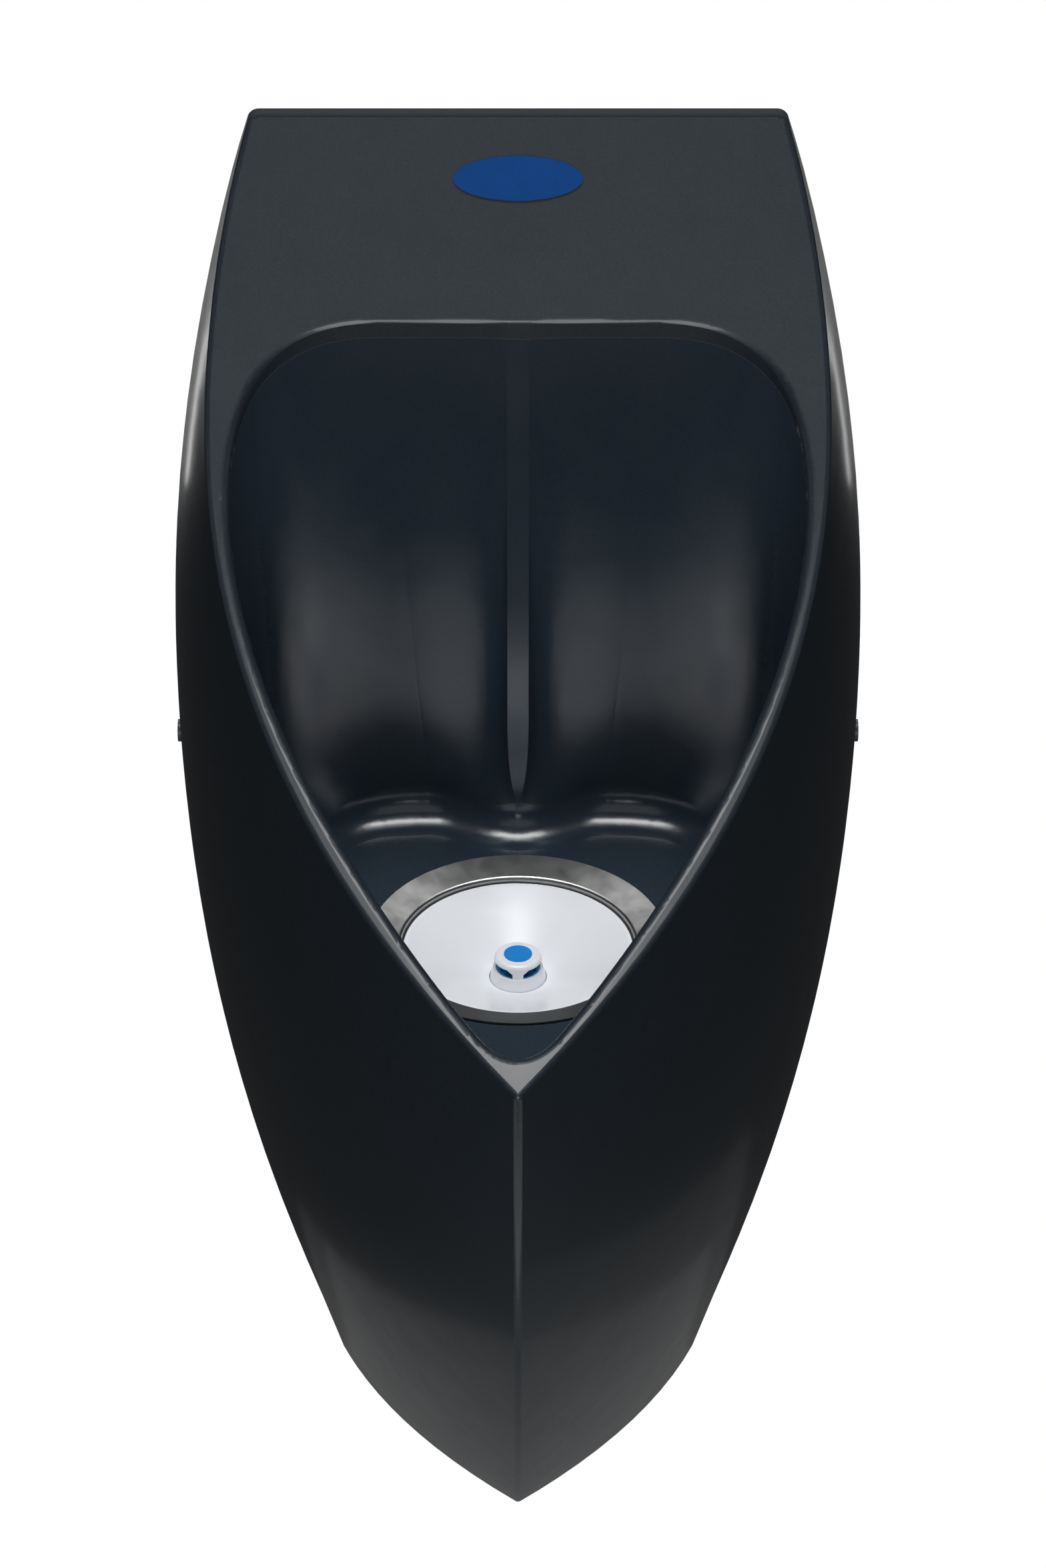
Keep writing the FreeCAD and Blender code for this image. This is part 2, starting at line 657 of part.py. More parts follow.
bowl_liner = doc.addObject("Part::Feature", "bowl_liner")
liner_foot = TRAP - floor_foot.number
liner_blank = bowl_solid(d.liner_wall.number, liner_foot, d.floor_fillet.number + d.liner_wall.number)
liner_blank = liner_blank.cut(above_front_face(d.front_wall.number + d.bond_gap.number))
bowl_liner.Shape = liner_blank.cut(bowl_space).cut(recess_tool())


# Trap collar: a pressed steel ring with a falling face, a sleeve, and a seat for the trap insert.

collar_foot = d.sleeve_depth + d.collar_sheet
trap_collar = trap_turned(
    "trap_collar",
    [
        (d.collar_radius, ZERO),
        (d.sleeve_bore, collar_face(d.sleeve_bore)),
        (d.sleeve_bore, d.sleeve_depth),
        (d.seat_bore, d.sleeve_depth),
        (d.seat_bore, collar_foot),
        (sleeve_radius, collar_foot),
        (sleeve_radius, collar_face(sleeve_radius) + d.collar_sheet),
        (d.collar_radius, d.collar_sheet),
    ],
)
round_circles(trap_collar, d.collar_bend, (d.sleeve_bore, collar_face(d.sleeve_bore)))

# Collar gasket: fills the slanted gap between the collar's face and its recess.

gasket_inner = floor_hole + d.sleeve_gap
gasket_outer = d.collar_radius - d.sleeve_gap
collar_gasket = trap_turned(
    "collar_gasket",
    [
        (gasket_outer, collar_face(gasket_outer) + d.collar_sheet),
        (gasket_inner, collar_face(gasket_inner) + d.collar_sheet),
        (gasket_inner, collar_face(gasket_inner) + gasket_foot),
        (gasket_outer, collar_face(gasket_outer) + gasket_foot),
    ],
)

# Floor washer: between the underside of the bowl floor and the housing that is screwed up against it.

washer_foot = floor_foot + d.washer_height
floor_washer = trap_turned(
    "floor_washer",
    [
        (floor_hole, floor_foot),
        (housing_flange_half - d.sleeve_gap, floor_foot),
        (housing_flange_half - d.sleeve_gap, washer_foot),
        (floor_hole, washer_foot),
    ],
)

# Drain housing: screwed onto the collar's sleeve, it catches the overflow of the trap cup.

pipe_bore = d.pipe_radius - d.pipe_wall
housing_neck = sleeve_radius + d.thread_gap
housing_shoulder = collar_foot + d.thread_gap
flange_foot = washer_foot + d.housing_flange_height
chamber_depth = d.cup_depth + d.chamber_room
spigot_depth = chamber_depth + d.hopper_height
spigot_foot = spigot_depth + d.spigot_length
drain_housing = trap_turned(
    "drain_housing",
    [
        (housing_neck, washer_foot),
        (housing_flange_half, washer_foot),
        (housing_flange_half, flange_foot),
        (housing_neck + d.housing_wall, flange_foot),
        (housing_neck + d.housing_wall, housing_shoulder + d.housing_wall),
        (d.housing_bore + d.housing_wall, housing_shoulder + d.housing_wall * 2),
        (d.housing_bore + d.housing_wall, chamber_depth),
        (d.spigot_radius, spigot_depth),
        (d.spigot_radius, spigot_foot),
        (pipe_bore, spigot_foot),
        (pipe_bore, spigot_depth - d.housing_wall),
        (d.housing_bore, chamber_depth - d.housing_wall),
        (d.housing_bore, housing_shoulder),
        (housing_neck, housing_shoulder),
    ],
)


def circle_sketch(body, name, role, radius, across):
    """A circle on one of the body's planes, its middle on the plane's first axis."""
    sketch = body.newObject("Sketcher::SketchObject", name)
    sketch.AttachmentSupport = [(origin_part(body, role), "")]
    sketch.MapMode = "FlatFace"
    sketch.addGeometry(Part.Circle(Vector(across.number, 0, 0), Vector(0, 0, 1), radius.number), False)
    sketch.addConstraint(Sketcher.Constraint("PointOnObject", 0, 3, -1))
    for kind, ends, size in (("DistanceX", (-1, 1, 0, 3), across), ("Radius", (0,), radius)):
        index = sketch.addConstraint(Sketcher.Constraint(kind, *ends, size.number))
        sketch.setExpression(f"Constraints[{index}]", size.text)
    return sketch


def repeat_round(body, feature, count):
    """Repeats the last cut of a turned piece round its own axis."""
    pattern = body.newObject("PartDesign::PolarPattern", f"{feature.Name}_ring")
    pattern.Originals = [feature]
    pattern.Axis = (origin_part(body, "Z_Axis"), [""])
    pattern.Angle = 360.0
    bind(pattern, Occurrences=count)
    body.Tip = pattern
    doc.recompute()
    return body


def grips(body, reach_out, count):
    """Finger grips scalloped into the rim of a turned piece."""
    sketch = circle_sketch(body, f"{body.Name}_grip_outline", "XY_Plane", d.grip_radius, reach_out)
    cut = body.newObject("PartDesign::Pocket", f"{body.Name}_grip")
    cut.Profile = sketch
    cut.Type = "ThroughAll"
    cut.SideType = "Symmetric"
    doc.recompute()
    return repeat_round(body, cut, count)


GRIP_SHARE = 0.62
grips(drain_housing, housing_flange_half + d.grip_radius * GRIP_SHARE, d.grip_count)

# Outlet union: washer and nut that pull the elbow's flange against the housing's spigot.

washer_bottom = spigot_foot + d.union_washer
flange_bottom = washer_bottom + d.elbow_flange
nut_bore = d.spigot_radius + d.thread_gap
elbow_outer = pipe_bore + d.elbow_wall
outlet_washer = trap_turned(
    "outlet_washer",
    [
        (pipe_bore, spigot_foot),
        (d.spigot_radius, spigot_foot),
        (d.spigot_radius, washer_bottom),
        (pipe_bore, washer_bottom),
    ],
)
outlet_nut = trap_turned(
    "outlet_nut",
    [
        (nut_bore, spigot_foot - d.nut_engagement),
        (nut_bore + d.nut_wall, spigot_foot - d.nut_engagement),
        (nut_bore + d.nut_wall, flange_bottom + d.nut_shoulder),
        (elbow_outer + d.thread_gap, flange_bottom + d.nut_shoulder),
        (elbow_outer + d.thread_gap, flange_bottom),
        (nut_bore, flange_bottom),
    ],
)
grips(outlet_nut, nut_bore + d.nut_wall + d.grip_radius * GRIP_SHARE, d.grip_count)

# Outlet elbow: turns the drain towards the wall and ends in a bell for the tail pipe.

bend_depth = flange_bottom + d.elbow_straight
bend_level = -d.trap_drop - bend_depth
run_level = bend_level - d.elbow_radius
bend_setback = d.trap_setback - d.elbow_radius
bell_top = bend_setback - d.bell_run
bell_mouth = bell_top - d.bell_length
tail_end = d.pipe_radius - d.tail_relief
socket_bore = tail_end + d.thread_gap


def quarter_bend(name, radius):
    """A quarter ring from straight down to straight back."""
    feature = doc.addObject("Part::Torus", name)
    bind(feature, Radius1=d.elbow_radius, Radius2=radius)
    feature.Angle3 = 90.0
    axes = (Vector(0, -1, 0), Vector(0, 0, -1), Vector(1, 0, 0))
    feature.Placement.Rotation = FreeCAD.Rotation(*axes, "XYZ")
    return place(feature, y=-bend_setback, z=bend_level)


def elbow_runs(name, radius, level_length):
    """Bend, upright run and level run of one radius."""
    upright = rod(f"{name}_upright", radius, bend_depth - washer_bottom, y=-d.trap_setback, z=bend_level)
    level_run = rod(f"{name}_level", radius, level_length, y=-bend_setback, z=run_level, along=BACK)
    return [quarter_bend(f"{name}_bend", radius), upright, level_run]


elbow_flange = rod(
    "elbow_flange",
    d.spigot_radius - d.thread_gap,
    d.elbow_flange,
    y=-d.trap_setback,
    z=-d.trap_drop - flange_bottom,
)
elbow_bell = rod("elbow_bell", d.spigot_radius, d.bell_length, y=-bell_top, z=run_level, along=BACK)
elbow_outside = elbow_runs("elbow_outer", elbow_outer, d.bell_run)
elbow_solid = plus("elbow_solid", *elbow_outside, elbow_flange, elbow_bell)
socket_end = bell_mouth + d.tail_socket + d.thread_gap
socket_length = socket_end - bell_mouth
elbow_socket = rod("elbow_socket", socket_bore, socket_length, y=-socket_end, z=run_level, along=BACK)
elbow_bores = elbow_runs("elbow_inner", pipe_bore, d.bell_run + d.bell_length)
outlet_elbow = minus("outlet_elbow", elbow_solid, *elbow_bores, elbow_socket)

# Tail pipe, its tapered washer and its nut: heights here run out from the wall along the pipe.

OUT = Vector(0, -1, 0)


def pipe_turned(name, corners):
    body = turned(name, corners, z=run_level)
    body.Placement.Rotation = FreeCAD.Rotation(Vector(0, 0, 1), OUT)
    doc.recompute()
    return body


nut_front = bell_mouth - d.tail_washer_length - d.nut_shoulder
tail_pipe = pipe_turned(
    "tail_pipe",
    [
        (d.pipe_radius, ZERO),
        (d.pipe_radius, nut_front),
        (tail_end, nut_front),
        (tail_end, bell_mouth + d.tail_socket),
        (pipe_bore, bell_mouth + d.tail_socket),
        (pipe_bore, ZERO),
    ],
)
tail_washer = pipe_turned(
    "tail_washer",
    [
        (tail_end, bell_mouth - d.tail_washer_length),
        (d.spigot_radius, bell_mouth - d.tail_washer_length),
        (d.spigot_radius, bell_mouth),
        (tail_end, bell_mouth),
    ],
)
tail_nut = pipe_turned(
    "tail_nut",
    [
        (nut_bore, bell_mouth + d.nut_engagement),
        (nut_bore + d.nut_wall, bell_mouth + d.nut_engagement),
        (nut_bore + d.nut_wall, nut_front),
        (d.pipe_radius + d.thread_gap, nut_front),
        (d.pipe_radius + d.thread_gap, nut_front + d.nut_shoulder),
        (nut_bore, nut_front + d.nut_shoulder),
    ],
)
grips(tail_nut, nut_bore + d.nut_wall + d.grip_radius * GRIP_SHARE, d.grip_count)

# Trap dish: the funnel the user sees, with a skirt that stands on the collar's seat, the inlet tube that
# dips into the trap cup, and three posts that carry the cup.

dish_radius = d.sleeve_bore - d.dish_gap
cone_top = dish_radius - d.dish_rim
cone_slope = (d.sump_depth - d.dish_depth) / (cone_top - d.sump_radius)
seat_depth = d.sump_depth + d.sump_step
inlet_radius = d.inlet_bore + d.inlet_wall
groove_half = d.ring_thick + d.dish_gap * 0.3
dish_bowl = trap_turned(
    "dish_bowl",
    [
        (dish_radius, d.dish_depth),
        (cone_top, d.dish_depth),
        (d.sump_radius, d.sump_depth),
        (d.sump_radius, seat_depth),
        (d.inlet_bore, seat_depth),
        (d.inlet_bore, d.inlet_depth),
        (inlet_radius, d.inlet_depth),
        (inlet_radius, seat_depth + d.dish_wall),
        (d.sump_radius + d.dish_wall, seat_depth + d.dish_wall),
        (dish_radius - d.skirt_wall, d.dish_depth + d.dish_wall * 1.4),
        (dish_radius - d.skirt_wall, d.sleeve_depth),
        (dish_radius, d.sleeve_depth),
        (dish_radius, d.ring_depth + groove_half),
        (dish_radius - d.ring_groove, d.ring_depth + groove_half),
        (dish_radius - d.ring_groove, d.ring_depth - groove_half),
        (dish_radius, d.ring_depth - groove_half),
    ],
)
round_circles(dish_bowl, d.dish_rim * 0.35, (dish_radius, d.dish_depth))
above_dish = trap_turned(
    "above_dish",
    [
        (ZERO, ZERO),
        (cone_top, ZERO),
        (cone_top, d.dish_depth + d.dish_wall * 0.4),
        (d.sump_radius, d.sump_depth + d.dish_wall * 0.4),
        (ZERO, d.sump_depth + d.dish_wall * 0.4),
    ],
)
POST_ANGLES = [math.radians(angle) for angle in (90.0, 210.0, 330.0)]


def on_posts(name, radius, top_depth, foot_depth):
    """Three upright rods on the circle of the posts, between two depths."""
    rods = []
    for index, angle in enumerate(POST_ANGLES):
        x = d.post_circle * math.cos(angle)
        y = d.post_circle * math.sin(angle) - d.trap_setback
        rods.append(rod(f"{name}_{index}", radius, foot_depth - top_depth, x, y, -d.trap_drop - foot_depth))
    return rods


post_blanks = plus("post_blanks", *on_posts("post", d.post_radius, d.dish_depth, d.lug_depth))
dish_posts = minus("dish_posts", post_blanks, above_dish)
pilot_top = d.lug_depth - d.cup_screw_length
pilot_holes = on_posts("pilot", d.cup_screw_radius + d.cup_screw_gap, pilot_top, d.lug_depth)
trap_dish = minus("trap_dish", plus("dish_blank", dish_bowl, dish_posts), *pilot_holes)

# Sealing ring: in the skirt's groove, against the sleeve.

insert_seal_ring = doc.addObject("Part::Torus", "insert_seal_ring")
bind(insert_seal_ring, Radius1=d.sleeve_bore - d.fit_gap - d.ring_thick, Radius2=d.ring_thick)
place(insert_seal_ring, y=-d.trap_setback, z=-d.trap_drop - d.ring_depth)

# Trap cup: holds the sealing liquid round the inlet tube and overflows at its edge. Screwed to the posts.

lug_foot = d.lug_depth + d.lug_height
cup_bowl = trap_turned(
    "cup_bowl",
    [
        (ZERO, d.cup_depth),
        (d.cup_radius, d.cup_depth),
        (d.cup_radius, d.weir_depth),
        (d.cup_radius - d.cup_wall, d.weir_depth),
        (d.cup_radius - d.cup_wall, d.cup_depth - d.cup_wall),
        (ZERO, d.cup_depth - d.cup_wall),
    ],
)
cup_inside = trap_turned(
    "cup_inside",
    [
        (ZERO, d.cup_depth - d.cup_wall),
        (d.cup_radius - d.cup_wall, d.cup_depth - d.cup_wall),
        (d.cup_radius - d.cup_wall, ZERO),
        (ZERO, ZERO),
    ],
)
cup_lugs = on_posts("lug", d.lug_radius, d.lug_depth, lug_foot)
lug_holes = on_posts("lug_hole", d.cup_screw_radius + d.cup_screw_gap, d.lug_depth, lug_foot)
trap_cup = minus("trap_cup", plus("cup_blank", cup_bowl, *cup_lugs), cup_inside, *lug_holes)

screw_shanks = on_posts("cup_screw_shank", d.cup_screw_radius, pilot_top, lug_foot)
screw_heads = on_posts("cup_screw_head", d.cup_screw_head, lug_foot, lug_foot + d.cup_head_height)
cup_screw_pairs = zip(screw_shanks, screw_heads)
cup_screws = several(
    "cup_screws", *[plus(f"cup_screw_{index}", *pair) for index, pair in enumerate(cup_screw_pairs)]
)

# Inlet cap: a mushroom whose legs stand on a flared skirt, with a foot ring dropped into the dish's sump.
# A notch at the back of the skirt lets the dish run dry.


def window(body, name, edge, length):
    """An opening cut from a turned piece's axis towards the wall. Edge gives one side of its outline
    as half widths and depths, from the top down; the other side mirrors it."""
    right = [(half, -depth) for half, depth in edge]
    left = [(-half, level) for half, level in reversed(right)]
    sketch = outline_sketch(body, f"{name}_outline", "XZ_Plane", right + left)
    cut = body.newObject("PartDesign::Pocket", name)
    cut.Profile = sketch
    bind(cut, Length=length)
    doc.recompute()
    return cut


skirt_radius = d.cap_radius + d.cap_skirt_step
skirt_bore = skirt_radius - d.cap_wall
leg_bore = d.cap_radius - d.cap_wall
cap_foot_radius = d.sump_radius - d.cap_gap
cap_foot_top = seat_depth - d.cap_ring_height
inlet_cap = trap_turned(
    "inlet_cap",
    [
        (ZERO, d.cap_top_depth),
        (d.cap_radius, d.cap_top_depth),
        (d.cap_radius, d.cap_skirt_depth),
        (skirt_radius, d.cap_skirt_depth),
        (cap_foot_radius, cap_foot_top),
        (cap_foot_radius, seat_depth),
        (skirt_bore, seat_depth),
        (skirt_bore, d.cap_skirt_depth),
        (leg_bore, d.cap_skirt_depth),
        (leg_bore, d.cap_top_depth + d.cap_top_wall),
        (ZERO, d.cap_top_depth + d.cap_top_wall),
    ],
)
round_circles(inlet_cap, d.cap_round, (d.cap_radius, d.cap_top_depth))
window_half = d.cap_radius * math.sin(math.pi / d.cap_leg_count.number) - d.cap_leg_width * 0.5
window_length = d.cap_radius * 2
window_edge = [
    (window_half - d.cap_leg_flare, d.cap_brim_depth),
    (window_half, d.cap_brim_depth + d.cap_leg_flare),
    (window_half, d.cap_skirt_depth),
]
cap_window = window(inlet_cap, "cap_window", window_edge, window_length)
repeat_round(inlet_cap, cap_window, d.cap_leg_count)
notch_edge = [(d.cap_notch_half, d.cap_notch_depth), (d.cap_notch_half, seat_depth)]
window(inlet_cap, "cap_notch", notch_edge, window_length)

# Coloured disc: stuck on the cap's flat top.

cap_disc = rod(
    "cap_disc", d.disc_radius, d.disc_height, y=-d.trap_setback, z=-d.trap_drop - d.cap_top_depth
)

# Strainer: a slotted sleeve inside the cap's skirt, its stem pushed into the inlet tube.

strainer_radius = skirt_bore - d.cap_gap
strainer_top = d.cap_skirt_depth + d.cap_gap * 2
strainer_stem_radius = d.inlet_bore - d.fit_gap * 2
strainer_bore = strainer_stem_radius - d.strainer_wall
inlet_strainer = trap_turned(
    "inlet_strainer",
    [
        (strainer_radius, strainer_top),
        (strainer_radius, seat_depth),
        (strainer_stem_radius, seat_depth),
        (strainer_stem_radius, seat_depth + d.strainer_stem),
        (strainer_bore, seat_depth + d.strainer_stem),
        (strainer_bore, seat_depth - d.strainer_wall),
        (strainer_radius - d.strainer_wall, seat_depth - d.strainer_wall),
        (strainer_radius - d.strainer_wall, strainer_top),
    ],
)
slot_half = d.strainer_slot * 0.5
slot_edge = [(slot_half, strainer_top + d.strainer_wall), (slot_half, seat_depth - d.strainer_wall)]
strainer_slot = window(inlet_strainer, "strainer_slot", slot_edge, d.cap_radius)
repeat_round(inlet_strainer, strainer_slot, d.strainer_slot_count)

# Wall bracket: a folded steel hook, bolted to the wall by its two holes.

ledge_foot = d.ledge_rise - d.bracket_sheet
bracket_half = d.bracket_bolt_half + d.bracket_end
bracket_plate = block(
    "bracket_plate",
    (-bracket_half, -d.bracket_sheet, -d.bracket_tail),
    (bracket_half, ZERO, d.ledge_rise),
)
bracket_ledge = block(
    "bracket_ledge",
    (-bracket_half, -d.ledge_reach, ledge_foot),
    (bracket_half, ZERO, d.ledge_rise),
)
bracket_hook = block(
    "bracket_hook",
    (-bracket_half, -d.ledge_reach, ledge_foot),
    (bracket_half, d.bracket_sheet - d.ledge_reach, d.ledge_rise + d.hook_height),
)


def wall_hole(name, radius, x, z):
    return rod(name, radius, d.bracket_sheet, x, -d.bracket_sheet, z, BACK)


wall_bracket = minus(
    "wall_bracket",
    plus("bracket_blank", bracket_plate, bracket_ledge, bracket_hook),
    wall_hole("bracket_hole_left", d.bracket_bolt_radius, -d.bracket_bolt_half, ZERO),
    wall_hole("bracket_hole_right", d.bracket_bolt_radius, d.bracket_bolt_half, ZERO),
)

# Hanging batten: laminated into the hull from side to side, it stands on the bracket's ledge.

hull_inside = doc.addObject("Part::Feature", "hull_inside")
hull_inside.Shape = hull_space
batten_block = block(
    "batten_block",
    (-d.beam_half, -d.batten_setback, d.ledge_rise),
    (d.beam_half, -d.bracket_sheet - d.hook_gap, d.ledge_rise + d.batten_height),
)
hook_slot = block(
    "hook_slot",
    (-bracket_half - d.hook_gap, -d.ledge_reach - d.hook_gap, d.ledge_rise),
    (
        bracket_half + d.hook_gap,
        d.bracket_sheet - d.ledge_reach + d.hook_gap,
        d.ledge_rise + d.hook_height + d.hook_gap,
    ),
)
hanging_batten = minus("hanging_batten", common("batten_blank", batten_block, hull_inside), hook_slot)

# Lower brackets: an angle on each side, bolted to the wall, that takes a screw through the hull.

lower_share = (d.lower_drop - d.beam_drop) / (d.base_drop - d.beam_drop)
lower_half = d.beam_half - (d.beam_half - d.base_half) * lower_share * lower_share
lower_reach_share = d.lower_reach / d.lip_setback
lower_face = (lower_half - d.hull_wall) * (as_size(1) - lower_reach_share * lower_reach_share) - d.lower_gap
lower_bolt_half = lower_face - d.lower_bolt_inset
lower_top = d.lower_height * 0.5 - d.lower_drop
lower_foot = -d.lower_height * 0.5 - d.lower_drop
screw_share = d.side_screw_setback / d.lip_setback
screw_exit = lower_half * (as_size(1) - screw_share * screw_share) - d.side_sink


def span(sign, near, far):
    """Two distances off the middle as a low and a high X on one side."""
    return (near, far) if sign > 0 else (-far, -near)


def lower_bracket(name, sign):
    low_x, high_x = span(sign, lower_face - d.lower_leg, lower_face)
    wall_leg = block(f"{name}_wall_leg", (low_x, -d.bracket_sheet, lower_foot), (high_x, ZERO, lower_top))
    low_x, high_x = span(sign, lower_face - d.bracket_sheet, lower_face)
    side_leg = block(f"{name}_side_leg", (low_x, -d.lower_reach, lower_foot), (high_x, ZERO, lower_top))
    bolt_hole = wall_hole(f"{name}_bolt_hole", d.lower_bolt_radius, lower_bolt_half * sign, -d.lower_drop)
    screw_hole = rod(
        f"{name}_screw_hole",
        d.side_screw_radius + d.side_screw_gap,
        d.lower_leg,
        (lower_face - d.lower_leg) * sign if sign > 0 else -lower_face,
        -d.side_screw_setback,
        -d.lower_drop,
        Vector(1, 0, 0),
    )
    return minus(name, plus(f"{name}_blank", wall_leg, side_leg), bolt_hole, screw_hole)


lower_bracket_left = lower_bracket("lower_bracket_left", -1)
lower_bracket_right = lower_bracket("lower_bracket_right", 1)

# Side screws and the caps over their heads.


def side_rod(name, sign, radius, near, far):
    """A rod along a side screw's axis, between two distances off the middle."""
    low_x, high_x = span(sign, near, far)
    return rod(name, radius, high_x - low_x, low_x, -d.side_screw_setback, -d.lower_drop, Vector(1, 0, 0))


def side_screw(sign):
    name = "side_screw_right" if sign > 0 else "side_screw_left"
    tip = lower_face - d.bracket_sheet - d.side_screw_tail
    shank = side_rod(f"{name}_shank", sign, d.side_screw_radius, tip, screw_exit)
    head = side_rod(f"{name}_head", sign, d.side_head_radius, screw_exit, screw_exit + d.side_head_height)
    return plus(name, shank, head)


def side_cap(sign):
    name = "side_cap_right" if sign > 0 else "side_cap_left"
    inner_end = screw_exit + d.side_head_height + d.side_screw_gap
    outer = side_rod(f"{name}_outer", sign, d.side_cap_radius, screw_exit, inner_end + d.side_cap_wall)
    inner_radius = d.side_cap_radius - d.side_cap_wall
    return minus(name, outer, side_rod(f"{name}_inner", sign, inner_radius, screw_exit, inner_end))


side_screws = several("side_screws", side_screw(-1), side_screw(1))
side_caps = several("side_caps", side_cap(-1), side_cap(1))

# Oval badge: a plain thin plate stuck on the forehead, following its curve.


def front_point(level):
    """Point of the front face's curve at a level, and the direction straight out of the face there."""
    start = Vector(0, -d.crown_setback.number, CROWN)
    pull = Vector(0, -d.sag_setback.number, -d.sag_drop.number)
    end = Vector(0, -d.lip_setback.number, LIP)
    a = start.z - 2 * pull.z + end.z
    b = 2 * (pull.z - start.z)
    c = start.z - level
    share = (-b - math.sqrt(b * b - 4 * a * c)) / (2 * a)
    point = start * (1 - share) ** 2 + pull * 2 * share * (1 - share) + end * share**2
    along = ((pull - start) * (1 - share) + (end - pull) * share).normalize()
    return point, Vector(0, along.z, -along.y)


def badge_shape():
    middle, out = front_point(-d.badge_drop.number)
    oval = Part.Ellipse(Vector(), d.badge_half_length.number, d.badge_half_height.number)
    prism = Part.Face(Part.Wire([oval.toShape()])).extrude(Vector(0, 0, PAST_EDGE))
    turn = FreeCAD.Rotation(Vector(0, 0, 1), out)
    prism.Placement = FreeCAD.Placement(middle - out * PAST_EDGE / 2, turn)
    back = d.badge_film.number
    layer = above_front_face(-back).cut(above_front_face(-back - d.badge_thick.number))
    return layer.common(prism)


oval_badge = doc.addObject("Part::Feature", "oval_badge")
oval_badge.Shape = badge_shape()

# Check every piece and write it out.

NODES = [
    hull_shell,
    bowl_liner,
    oval_badge,
    trap_collar,
    collar_gasket,
    floor_washer,
    drain_housing,
    outlet_washer,
    outlet_nut,
    outlet_elbow,
    tail_pipe,
    tail_washer,
    tail_nut,
    trap_dish,
    insert_seal_ring,
    trap_cup,
    cup_screws,
    inlet_strainer,
    inlet_cap,
    cap_disc,
    wall_bracket,
    hanging_batten,
    lower_bracket_left,
    lower_bracket_right,
    side_screws,
    side_caps,
]

doc.recompute()
for feature in doc.Objects:
    if "Invalid" in feature.State or "Error" in feature.State:
        raise RuntimeError(f"{feature.Name} did not build: {feature.State}")
os.makedirs("parts", exist_ok=True)
for node in NODES:
    node.Label = node.Name
    if node.Shape.isNull() or not node.Shape.isValid():
        raise RuntimeError(f"{node.Name} has no valid shape")
    node.Shape.exportStep(f"parts/{node.Name}.step")
    print(node.Name, len(node.Shape.Solids), round(node.Shape.Volume / 1000.0, 2), "cm3")
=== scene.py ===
import math

import bpy
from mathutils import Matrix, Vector

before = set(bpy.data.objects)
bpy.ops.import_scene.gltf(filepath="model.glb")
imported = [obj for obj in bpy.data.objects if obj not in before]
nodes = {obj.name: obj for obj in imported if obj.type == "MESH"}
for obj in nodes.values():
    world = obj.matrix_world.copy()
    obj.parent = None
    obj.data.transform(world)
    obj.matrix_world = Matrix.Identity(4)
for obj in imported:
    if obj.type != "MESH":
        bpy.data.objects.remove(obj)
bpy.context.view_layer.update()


# Wall bracket and lower brackets. Folded from 3 mm steel sheet and hot-dip galvanised, so the zinc
# shows its flower pattern. The long one is bolted to the wall and carries the hull on its upturned
# ledge; the two small angles take the side screws.
ZINC_FLOWER = 0.009


def paint(red, green, blue):
    """A colour as it looks on a screen, 0 to 255, turned into what a shader takes."""
    values = []
    for level in (red, green, blue):
        level = level / 255
        values.append(level / 12.92 if level <= 0.04045 else ((level + 0.055) / 1.055) ** 2.4)
    return (*values, 1.0)


def new_finish(name, metallic=0.0):
    """An empty finish: its node tree and its shader."""
    finish = bpy.data.materials.new(name)
    finish.use_nodes = True
    shader = finish.node_tree.nodes["Principled BSDF"]
    shader.inputs["Metallic"].default_value = metallic
    return finish, finish.node_tree, shader


def own_place(tree, stretch=(1, 1, 1), turn=(0, 0, 0)):
    """Where a point lies on the piece, in metres, so a pattern travels with the piece."""
    place = tree.nodes.new("ShaderNodeTexCoord")
    mapping = tree.nodes.new("ShaderNodeMapping")
    mapping.inputs["Rotation"].default_value = turn
    mapping.inputs["Scale"].default_value = stretch
    tree.links.new(place.outputs["Object"], mapping.inputs["Vector"])
    return mapping.outputs["Vector"]


def cloud(tree, place, size, detail=3.0):
    """Soft noise whose blotches are about so many metres across."""
    noise = tree.nodes.new("ShaderNodeTexNoise")
    noise.inputs["Scale"].default_value = 1 / size
    noise.inputs["Detail"].default_value = detail
    noise.inputs["Roughness"].default_value = 0.55
    tree.links.new(place, noise.inputs["Vector"])
    return noise.outputs["Fac"]


def cells(tree, place, size, output="Distance"):
    """Cell pattern whose cells are about so many metres across."""
    voronoi = tree.nodes.new("ShaderNodeTexVoronoi")
    voronoi.inputs["Scale"].default_value = 1 / size
    tree.links.new(place, voronoi.inputs["Vector"])
    return voronoi.outputs[output]


def spread(tree, value, low, high, into=None, start=0.3, end=0.7):
    """Runs from the first number to the second as the value goes from start to end."""
    scale = tree.nodes.new("ShaderNodeMapRange")
    scale.inputs["From Min"].default_value = start
    scale.inputs["From Max"].default_value = end
    scale.inputs["To Min"].default_value = low
    scale.inputs["To Max"].default_value = high
    tree.links.new(value, scale.inputs["Value"])
    if into is not None:
        tree.links.new(scale.outputs["Result"], into)
    return scale.outputs["Result"]


def tint(tree, value, first, second, into=None):
    """Mixes two colours, or two colour sockets, by a value from 0 to 1."""
    mix = tree.nodes.new("ShaderNodeMix")
    mix.data_type = "RGBA"
    for socket, colour in ((mix.inputs[6], first), (mix.inputs[7], second)):
        if isinstance(colour, tuple):
            socket.default_value = colour
        else:
            tree.links.new(colour, socket)
    tree.links.new(value, mix.inputs["Factor"])
    if into is not None:
        tree.links.new(mix.outputs[2], into)
    return mix.outputs[2]


